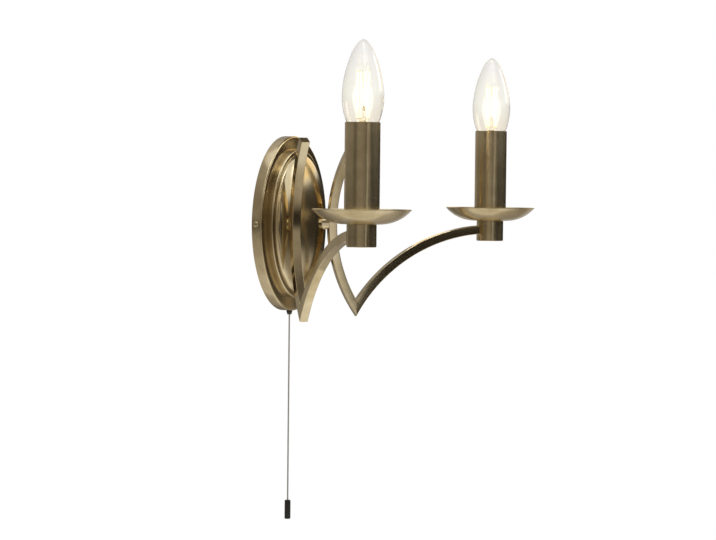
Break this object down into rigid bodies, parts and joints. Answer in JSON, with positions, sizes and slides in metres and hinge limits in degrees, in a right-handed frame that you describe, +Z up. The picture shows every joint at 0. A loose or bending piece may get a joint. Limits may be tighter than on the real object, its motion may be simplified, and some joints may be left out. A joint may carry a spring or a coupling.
{
  "type": "wall light",
  "caption": "Double arm candle wall light: stepped oval canopy, bowed square-bar arms with drip dishes, candle sleeves, filament lamps and a pull cord switch.",
  "frame": {"origin": "centre of the wall bracket's back face, on the wall plane, midway between its two fixing slots", "axes": "+Z up, +X to the right seen from the room, +Y into the wall, so the light stands out along -Y"},
  "size_m": [0.3588, 0.1862, 0.4269],
  "materials": {
    "antique_brass": "brushed, dark olive-brown patina, lacquered",
    "zinc_steel": "zinc plated",
    "bright_brass": "plain",
    "dark_steel": "blackened",
    "nylon_white": "moulded",
    "holder_black": "moulded",
    "switch_black": "moulded",
    "spring_steel": "drawn wire",
    "lamp_cap_metal": "nickel plated",
    "lamp_glass": "clear",
    "stem_glass": "clear",
    "filament_phosphor": "lit yellow phosphor",
    "insulator_glass": "dark glass",
    "clear_cord": "fine translucent cord",
    "bob_black": "moulded",
    "lead_brown": "insulated lead"
  },
  "bodies": {
    "fixture": {"canopy": "antique_brass", "wall_bracket": "zinc_steel", "side_screws": "antique_brass", "earth_screw": "bright_brass", "terminal_block": "nylon_white", "terminal_inserts": "bright_brass", "terminal_screws": "zinc_steel", "boss_nipples": "zinc_steel", "saddle_washers": "zinc_steel", "boss_nuts": "zinc_steel", "cup_discs": "antique_brass", "dish_washers": "zinc_steel", "dish_nuts": "zinc_steel", "holder_tubes": "zinc_steel", "switch_case": "switch_black", "switch_lid": "switch_black", "plunger_spring": "spring_steel", "switch_bush": "dark_steel", "arm_leads": "lead_brown", "switch_leads": "lead_brown", "left_boss": "antique_brass", "left_bow": "antique_brass", "left_bow_cap": "antique_brass", "left_branch": "antique_brass", "left_cup": "antique_brass", "left_drip_dish": "antique_brass", "left_holder_base": "holder_black", "left_holder_body": "holder_black", "left_holder_shell": "bright_brass", "left_holder_contact": "bright_brass", "left_candle_sleeve": "antique_brass", "right_boss": "antique_brass", "right_bow": "antique_brass", "right_bow_cap": "antique_brass", "right_branch": "antique_brass", "right_cup": "antique_brass", "right_drip_dish": "antique_brass", "right_holder_base": "holder_black", "right_holder_body": "holder_black", "right_holder_shell": "bright_brass", "right_holder_contact": "bright_brass", "right_candle_sleeve": "antique_brass"},
    "left_lamp": {"left_bulb_glass": "lamp_glass", "left_bulb_cap": "lamp_cap_metal", "left_bulb_contact": "insulator_glass", "left_bulb_stem": "stem_glass", "left_bulb_filaments": "filament_phosphor", "left_bulb_wires": "lamp_cap_metal"},
    "right_lamp": {"right_bulb_glass": "lamp_glass", "right_bulb_cap": "lamp_cap_metal", "right_bulb_contact": "insulator_glass", "right_bulb_stem": "stem_glass", "right_bulb_filaments": "filament_phosphor", "right_bulb_wires": "lamp_cap_metal"},
    "pull": {"switch_plunger": "nylon_white", "inner_cord": "clear_cord", "pull_cord": "clear_cord", "cord_end": "bob_black"}
  },
  "joints": [
    {"name": "left_lamp_turn", "type": "hinge", "parent": "fixture", "child": "left_lamp", "pos_m": [-0.13792, -0.14469, 0], "axis": [0, 0, 1], "range_deg": [0, 1080]},
    {"name": "right_lamp_turn", "type": "hinge", "parent": "fixture", "child": "right_lamp", "pos_m": [0.13792, -0.14469, 0], "axis": [0, 0, 1], "range_deg": [0, 1080]},
    {"name": "pull_slide", "type": "slide", "parent": "fixture", "child": "pull", "axis": [0, 0, -1], "range_m": [0, 0.008], "stiffness_N_per_m": 300, "springref_m": -0.008, "deforming": ["plunger_spring"]}
  ]
}
